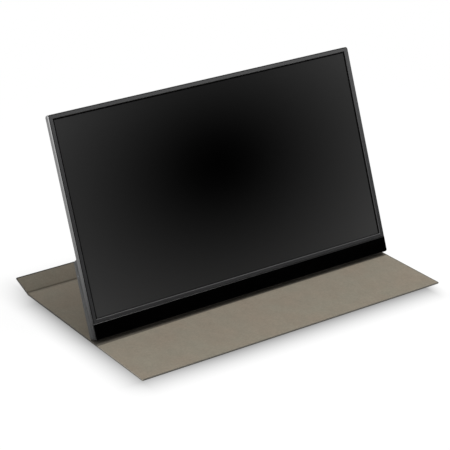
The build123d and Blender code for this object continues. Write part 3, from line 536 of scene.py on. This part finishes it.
# Finish of each of the record's material slots
finishes = {
    "bezel_grey": bezel_finish(),
    "chin_gloss": chin_finish(),
    "screen": screen_finish(),
    "shell_metal": metal_finish("shell_anodised", level=0.27, roughness=0.32, grain=14, tilt=lean),
    "housing_grey": plastic_finish("housing_plastic", level=0.10, tooth_size=0.4 * MM),
    "stand_metal": metal_finish("stand_anodised", level=0.22, roughness=0.38, grain=30, tilt=-lean),
    "steel": steel_finish(),
    "dark_plastic": plastic_finish("dark_moulding", level=0.018, tooth_size=0.3 * MM),
    "film_white": film_finish(),
    "board_green": board_finish(),
    "tape_black": tape_finish(),
    "rubber": rubber_finish(),
    "light_clear": light_finish(),
    "cover_skin": skin_finish(),
    "cover_lining": lining_finish(),
    "cover_board": card_finish(),
    "magnet": magnet_finish(),
}


def dress_nodes():
    """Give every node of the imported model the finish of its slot."""
    for node in frame["nodes"].values():
        for place in node.material_slots:
            place.material = finishes[place.material.name].material


# The folio's two sheets, laid out flat and folded at the crease
cover_front = cover_low.y - crease.y
strip_end = (strip_rear - crease.y - crease.z * sin(strip_rise)) / cos(strip_rise)
sheet_thickness = crease.z
LIP = 1.0 * MM
LINING = 0.3 * MM
SKIN = 0.4 * MM
BEND = 1.6 * MM

# The grid of a sheet, which is finer at its corners, at the crease and near its sides
CORNER = 1.5 * MM
SMALL_CORNER = 0.2 * MM
CORNER_STEPS = 6
CELL = 5.0 * MM
CREASE_CELL = 0.4 * MM
CREASE_ZONE = 4.0 * MM
SIDE_INSETS = (0, 0.5 * MM, 1 * MM, 2 * MM, 3 * MM, 4 * MM)
SHARP_ANGLE = radians(50)

# The pressed groove, which is shallower at the sides
GROOVE_DEPTH = 0.6 * MM
GROOVE_WIDTH = 1.4 * MM
GROOVE_END = 3.0 * MM
GROOVE_SIDE_SHARE = 0.35

# Sections of the sheets' edges: the lining's round, the skin's turned edge and its pressed line
ROUND_STEPS = 4
LINING_FACE_INSET = 0.4 * MM
LINING_BACK_INSET = 0.3 * MM
LINING_GAP = 0.02 * MM
LINING_ROUND = 0.15 * MM
TURN_INNER = ((0, -0.1 * MM), (0.08 * MM, 0.03 * MM), (0.22 * MM, 0.08 * MM), (0.4 * MM, 0.08 * MM))
TURN_DROP = 0.5 * MM
FOOT_ROUND = 0.6 * MM
PRESSED_LINE = ((1.9 * MM, 0), (2.05 * MM, 0.12 * MM), (2.35 * MM, 0.12 * MM), (2.5 * MM, 0), (2.7 * MM, 0))

# Shares of the groove's depth by which the skin's turned edge dips and its outside rises
SKIN_DIP = 0.7
SKIN_RIDGE = 0.12


def ease(share):
    """A smooth step from 0 to 1."""
    share = min(max(share, 0.0), 1.0)
    return share * share * (3 - 2 * share)


def folded(x, along, height):
    """A point of the flat folio, as it lies folded at rest. Along is measured from the crease
    towards the strip, and height from the lining's face."""
    angle = strip_rise * ease((along + BEND) / (2 * BEND))
    return (
        x,
        crease.y + along * cos(angle) - height * sin(angle),
        crease.z + along * sin(angle) + height * cos(angle),
    )


def steps(low, high, cell):
    """Evenly spaced values between two limits, without the limits."""
    count = max(round((high - low) / cell), 1)
    return [low + (high - low) * k / count for k in range(1, count)]


def quarter_turn(count):
    """Angles from 0 to a right angle, in even steps."""
    return [pi / 2 * k / count for k in range(count + 1)]


def sheet_rows():
    """Rows across the sheet: corner rows as (end, angle), and straight rows as (0, along)."""
    turns = quarter_turn(CORNER_STEPS)
    front, rear = cover_front + CORNER, strip_end - CORNER
    straight = steps(front, -CREASE_ZONE, CELL) + [-CREASE_ZONE]
    straight += steps(-CREASE_ZONE, CREASE_ZONE, CREASE_CELL) + [CREASE_ZONE]
    straight += steps(CREASE_ZONE, rear, CELL)
    return [(-1, a) for a in turns] + [(0, s) for s in straight] + [(1, a) for a in reversed(turns)]


def sheet_shares():
    """Columns along the sheet, as shares of its half width, closer together near the sides."""
    near = [1 - inset / cover_half for inset in SIDE_INSETS]
    inner = steps(-near[-1], near[-1], CELL / cover_half)
    return [-share for share in near] + inner + near[::-1]


def groove(x, along):
    """Depth of the pressed groove, which runs out just before the sides."""
    inward = ease((cover_half - abs(x) - LIP) / GROOVE_END)
    run_out = GROOVE_SIDE_SHARE + (1 - GROOVE_SIDE_SHARE) * inward
    return GROOVE_DEPTH * run_out * (1 - ease(abs(along - GROOVE_PLACE) / GROOVE_WIDTH))


def sheet_mesh(name, profile, relief):
    """A closed sheet: a grid at the profile's first inset and height, rims round its edge, and
    a grid at the last inset and height. Relief gives the drop at a point of the flat sheet."""
    rows, shares = sheet_rows(), sheet_shares()
    last_row, last_column = len(rows) - 1, len(shares) - 1

    def place(i, j, inset, height):
        end, value = rows[i]
        radius = max(CORNER - inset, SMALL_CORNER)
        if end == 0:
            half, along = cover_half - inset, value
        else:
            half = cover_half - inset - radius + radius * sin(value)
            limit = cover_front + inset + radius if end < 0 else strip_end - inset - radius
            along = limit + end * radius * cos(value)
        x = shares[j] * half
        return folded(x, along, height - relief(x, along, height))

    rim = [(0, j) for j in range(last_column)]
    rim += [(i, last_column) for i in range(last_row)]
    rim += [(last_row, j) for j in range(last_column, 0, -1)]
    rim += [(i, 0) for i in range(last_row, 0, -1)]

    points, faces = [], []

    def grid(inset, height, flip):
        start = len(points)
        width = last_column + 1
        points.extend(place(i, j, inset, height) for i in range(last_row + 1) for j in range(width))
        for i in range(last_row):
            for j in range(last_column):
                a = start + i * width + j
                quad = (a, a + 1, a + width + 1, a + width)
                faces.append(quad[::-1] if flip else quad)
        return [start + i * width + j for i, j in rim]

    def loop(inset, height):
        start = len(points)
        points.extend(place(i, j, inset, height) for i, j in rim)
        return list(range(start, start + len(rim)))

    rings = [grid(*profile[0], flip=False)]
    rings += [loop(*step) for step in profile[1:-1]]
    rings.append(grid(*profile[-1], flip=True))
    for upper, lower in zip(rings, rings[1:]):
        for k in range(len(rim)):
            after = (k + 1) % len(rim)
            faces.append((upper[k], lower[k], lower[after], upper[after]))

    mesh = bpy.data.meshes.new(name)
    mesh.from_pydata(points, [], faces)
    mesh.validate()
    mesh.polygons.foreach_set("use_smooth", [True] * len(mesh.polygons))
    mesh.set_sharp_from_angle(angle=SHARP_ANGLE)
    piece = bpy.data.objects.new(name, mesh)
    bpy.context.scene.collection.objects.link(piece)
    return piece


def lining_relief(x, along, height):
    """The lining follows the pressed groove through its whole thickness."""
    return groove(x, along)


def skin_relief(x, along, height):
    """The turned edge dips at the groove, and the outside rises a little."""
    share = ease((height + sheet_thickness) / (sheet_thickness - LINING))
    return groove(x, along) * (SKIN_DIP * share - SKIN_RIDGE * (1 - share))


def make_lining():
    """The suede inside of the folio: one sheet from the front edge to the end of the strip."""
    profile = [(LIP + LINING_FACE_INSET, 0.0)]
    for angle in quarter_turn(ROUND_STEPS):
        inset = LIP + LINING_GAP + LINING_ROUND * (1 - sin(angle))
        profile.append((inset, -LINING_ROUND * (1 - cos(angle))))
    profile += [(LIP + LINING_GAP, -LINING), (LIP + LINING_BACK_INSET, -LINING)]
    piece = sheet_mesh("folio_lining", profile, lining_relief)
    piece.data.materials.append(finishes["cover_lining"].material)
    return piece


def make_skin():
    """The outer leather: flat underneath and turned up round the edge, with a pressed line."""
    bottom = -sheet_thickness
    profile = [(LIP, bottom + SKIN)]
    profile += [(LIP - inward, height) for inward, height in TURN_INNER]
    side, top = profile[-1]
    for angle in quarter_turn(ROUND_STEPS)[1:]:
        profile.append((side * (1 - sin(angle)), top - TURN_DROP * (1 - cos(angle))))
    for angle in quarter_turn(ROUND_STEPS):
        profile.append((FOOT_ROUND * (1 - cos(angle)), bottom + FOOT_ROUND * (1 - sin(angle))))
    profile += [(inset, bottom + height) for inset, height in PRESSED_LINE]
    piece = sheet_mesh("folio_skin", profile, skin_relief)
    piece.data.materials.append(finishes["cover_skin"].material)
    return piece


def dress_folio():
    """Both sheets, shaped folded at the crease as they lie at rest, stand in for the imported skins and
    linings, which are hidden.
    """
    lining, skin = make_lining(), make_skin()
    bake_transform(lining)
    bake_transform(skin)
    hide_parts("cover_lining", "strip_lining")
    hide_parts("cover_outer_skin", "strip_outer_skin")


# The floor's size, where it turns white, its colour, and how evenly the camera sees it lit
FLOOR_HALF = 4.0
FLOOR_DROP = 0.02 * MM
FLOOR_NEAR = 0.36
FLOOR_FAR = 0.75
FLOOR_PAINT = 0.88
FLOOR_LIFT = 1.03
FLOOR_EVENNESS = 0.9

# The floor's painted shadow: how far it reaches round the cover, where it is weaker, and how dark it is
SHADE_LEFT = 34 * MM
SHADE_FRONT = 37 * MM
SHADE_BACK = 38 * MM
SHADE_REAR_END = 47 * MM
SHADE_RIGHT_END = 18 * MM
SHADE_CORNER = 600 * MM
SHADE_CORNER_END = 90 * MM
SHADE_FALLOFF = 1.8
SHADE_LEVEL = 0.37

# Painted shade that only gloss sees: how much darker the floor shows beside the cover's left edge, and how
# far from it
MIRRORED_SHADE = 0.9
MIRRORED_REACH = 150 * MM


def shade_share(tree):
    """Share of the floor's light that is left under a painted shadow beside the cover and in front of it,
    and under a painted shade that only gloss sees beside the left edge.
    """
    across = tree.along(RIGHT)
    depth = tree.along(BACK)
    slant = tree.math("ADD", across, depth)
    corner = cover_low.y - cover_half
    ramps = (
        tree.span(across, -cover_half - SHADE_LEFT, -cover_half),
        tree.span(across, cover_half, cover_half - SHADE_RIGHT_END),
        tree.span(depth, cover_low.y - SHADE_FRONT, cover_low.y),
        tree.span(depth, strip_rear + SHADE_BACK, strip_rear - SHADE_REAR_END),
        tree.span(slant, corner - SHADE_CORNER, corner + SHADE_CORNER_END),
    )
    falloff = tree.math("POWER", tree.product(*ramps), SHADE_FALLOFF)
    level = tree.span(falloff, 0, 1, 1, SHADE_LEVEL)
    apart = tree.math("ABSOLUTE", tree.math("ADD", across, cover_half))
    beside = tree.span(apart, 0, MIRRORED_REACH, MIRRORED_SHADE, 0)
    mirrored = tree.product(beside, tree.ray("Is Glossy Ray"))
    return tree.product(level, tree.math("SUBTRACT", 1, mirrored))


def make_floor():
    """Pale floor that keeps the object's shadow and a painted shadow near it, and goes to plain white
    further off.
    """
    mesh = bpy.data.meshes.new("floor")
    corners = [(x * FLOOR_HALF, y * FLOOR_HALF, 0) for x, y in ((-1, -1), (1, -1), (1, 1), (-1, 1))]
    mesh.from_pydata(corners, [], [(0, 1, 2, 3)])
    floor = bpy.data.objects.new("floor", mesh)
    floor.location.z = -FLOOR_DROP
    bpy.context.scene.collection.objects.link(floor)

    material = bpy.data.materials.new("floor_white")
    mesh.materials.append(material)
    tree = Tree(material, "Object", emptied=True)
    distance = tree.node("VectorMath", {0: tree.place}, "Value", operation="LENGTH")
    far = tree.span(distance, FLOOR_NEAR, FLOOR_FAR, smooth=True)
    camera = tree.ray("Is Camera Ray")
    paint = tree.node("BsdfDiffuse", {"Color": opaque(grey(FLOOR_PAINT))})
    lift = tree.node("Emission", {"Strength": FLOOR_LIFT})
    lifted = tree.mixed(tree.product(camera, FLOOR_EVENNESS), paint, lift)
    shaded = tree.node("MixShader", {0: shade_share(tree), 2: lifted})
    white = tree.node("Emission", {})
    tree.end("OutputMaterial", tree.mixed(tree.product(far, camera), shaded, white))


# The world's light from the horizon and from above, and the place of its dark flag
AMBIENT_LOW = 0.016
AMBIENT_HIGH = 0.88
FLAG_TILT = Vector((0.38, 0, 0.925))
FLAG_TOP = 0.432
FLAG_FULL = 0.38
FLAG_SIDE = Vector((0.5, -0.866, 0))
FLAG_SIDE_START = 0.5
FLAG_SIDE_FULL = 0.75


def make_world():
    """White background, soft light that grows towards the top, at a level at which a colour
    renders about as it is written, and a dark flag in front that only gloss shows."""
    world = bpy.data.worlds.new("studio")
    bpy.context.scene.world = world
    tree = Tree(world, "Generated", emptied=True)
    overhead = tree.span(tree.along(UP), 0, 1, AMBIENT_LOW, AMBIENT_HIGH)
    ambient = tree.node("Background", {"Color": opaque(grey(1)), "Strength": overhead})
    white = tree.node("Background", {"Color": opaque(grey(1))})
    flag = tree.node("Background", {"Strength": 0})
    within = tree.span(tree.along(FLAG_TILT), FLAG_TOP, FLAG_FULL, smooth=True)
    ahead = tree.span(tree.along(FLAG_SIDE), FLAG_SIDE_START, FLAG_SIDE_FULL, smooth=True)
    flagged = tree.product(within, ahead, tree.ray("Is Glossy Ray"))
    backdrop = tree.mixed(flagged, white, flag)
    seen = tree.ray("Is Camera Ray")
    for kind in ("Is Glossy Ray", "Is Transmission Ray"):
        seen = tree.math("ADD", seen, tree.ray(kind), clamped=True)
    tree.end("OutputWorld", tree.mixed(seen, ambient, backdrop))


# The two lamps, with their powers in watts, and the point that they are aimed at
LAMP_AIM = Vector((0, 0, 0.06))
LAMP_SIZE = 1.0
KEY_PLACE = Vector((0.55, -0.7, 1.9))
KEY_POWER = 22
FILL_PLACE = Vector((-1.7, -0.2, 0.9))
FILL_POWER = 2.5


def softbox(name, place, power):
    """A square soft light aimed at the object."""
    data = bpy.data.lights.new(name, "AREA")
    data.shape = "SQUARE"
    data.size = LAMP_SIZE
    data.energy = power
    light = bpy.data.objects.new(name, data)
    light.location = place
    light.rotation_mode = "QUATERNION"
    light.rotation_quaternion = (LAMP_AIM - place).to_track_quat("-Z", "Y")
    bpy.context.scene.collection.objects.link(light)


def make_lights():
    """A key high in front on the right, and a weak fill on the left."""
    softbox("key", KEY_PLACE, KEY_POWER)
    softbox("fill", FILL_PLACE, FILL_POWER)


def place_camera():
    """Camera at the photograph's viewing angle."""
    back = Vector((sin(AZIMUTH) * cos(ELEVATION), -cos(AZIMUTH) * cos(ELEVATION), sin(ELEVATION)))
    level = Vector((cos(AZIMUTH), sin(AZIMUTH), 0))
    rise = back.cross(level)
    right = level * cos(ROLL) + rise * sin(ROLL)
    above = rise * cos(ROLL) - level * sin(ROLL)
    data = bpy.data.cameras.new("camera")
    data.sensor_width = SENSOR
    data.lens = FOCAL_PIXELS / IMAGE_SIZE * SENSOR
    data.clip_start = NEAREST_SEEN
    data.clip_end = FARTHEST_SEEN
    camera = bpy.data.objects.new("camera", data)
    camera.location = CAMERA_PLACE
    camera.rotation_mode = "QUATERNION"
    camera.rotation_quaternion = Matrix((right, above, back)).transposed().to_quaternion()
    bpy.context.scene.collection.objects.link(camera)
    bpy.context.scene.camera = camera


dress_nodes()
dress_folio()
make_floor()
make_world()
make_lights()
place_camera()
bpy.context.scene.view_settings.view_transform = "Standard"
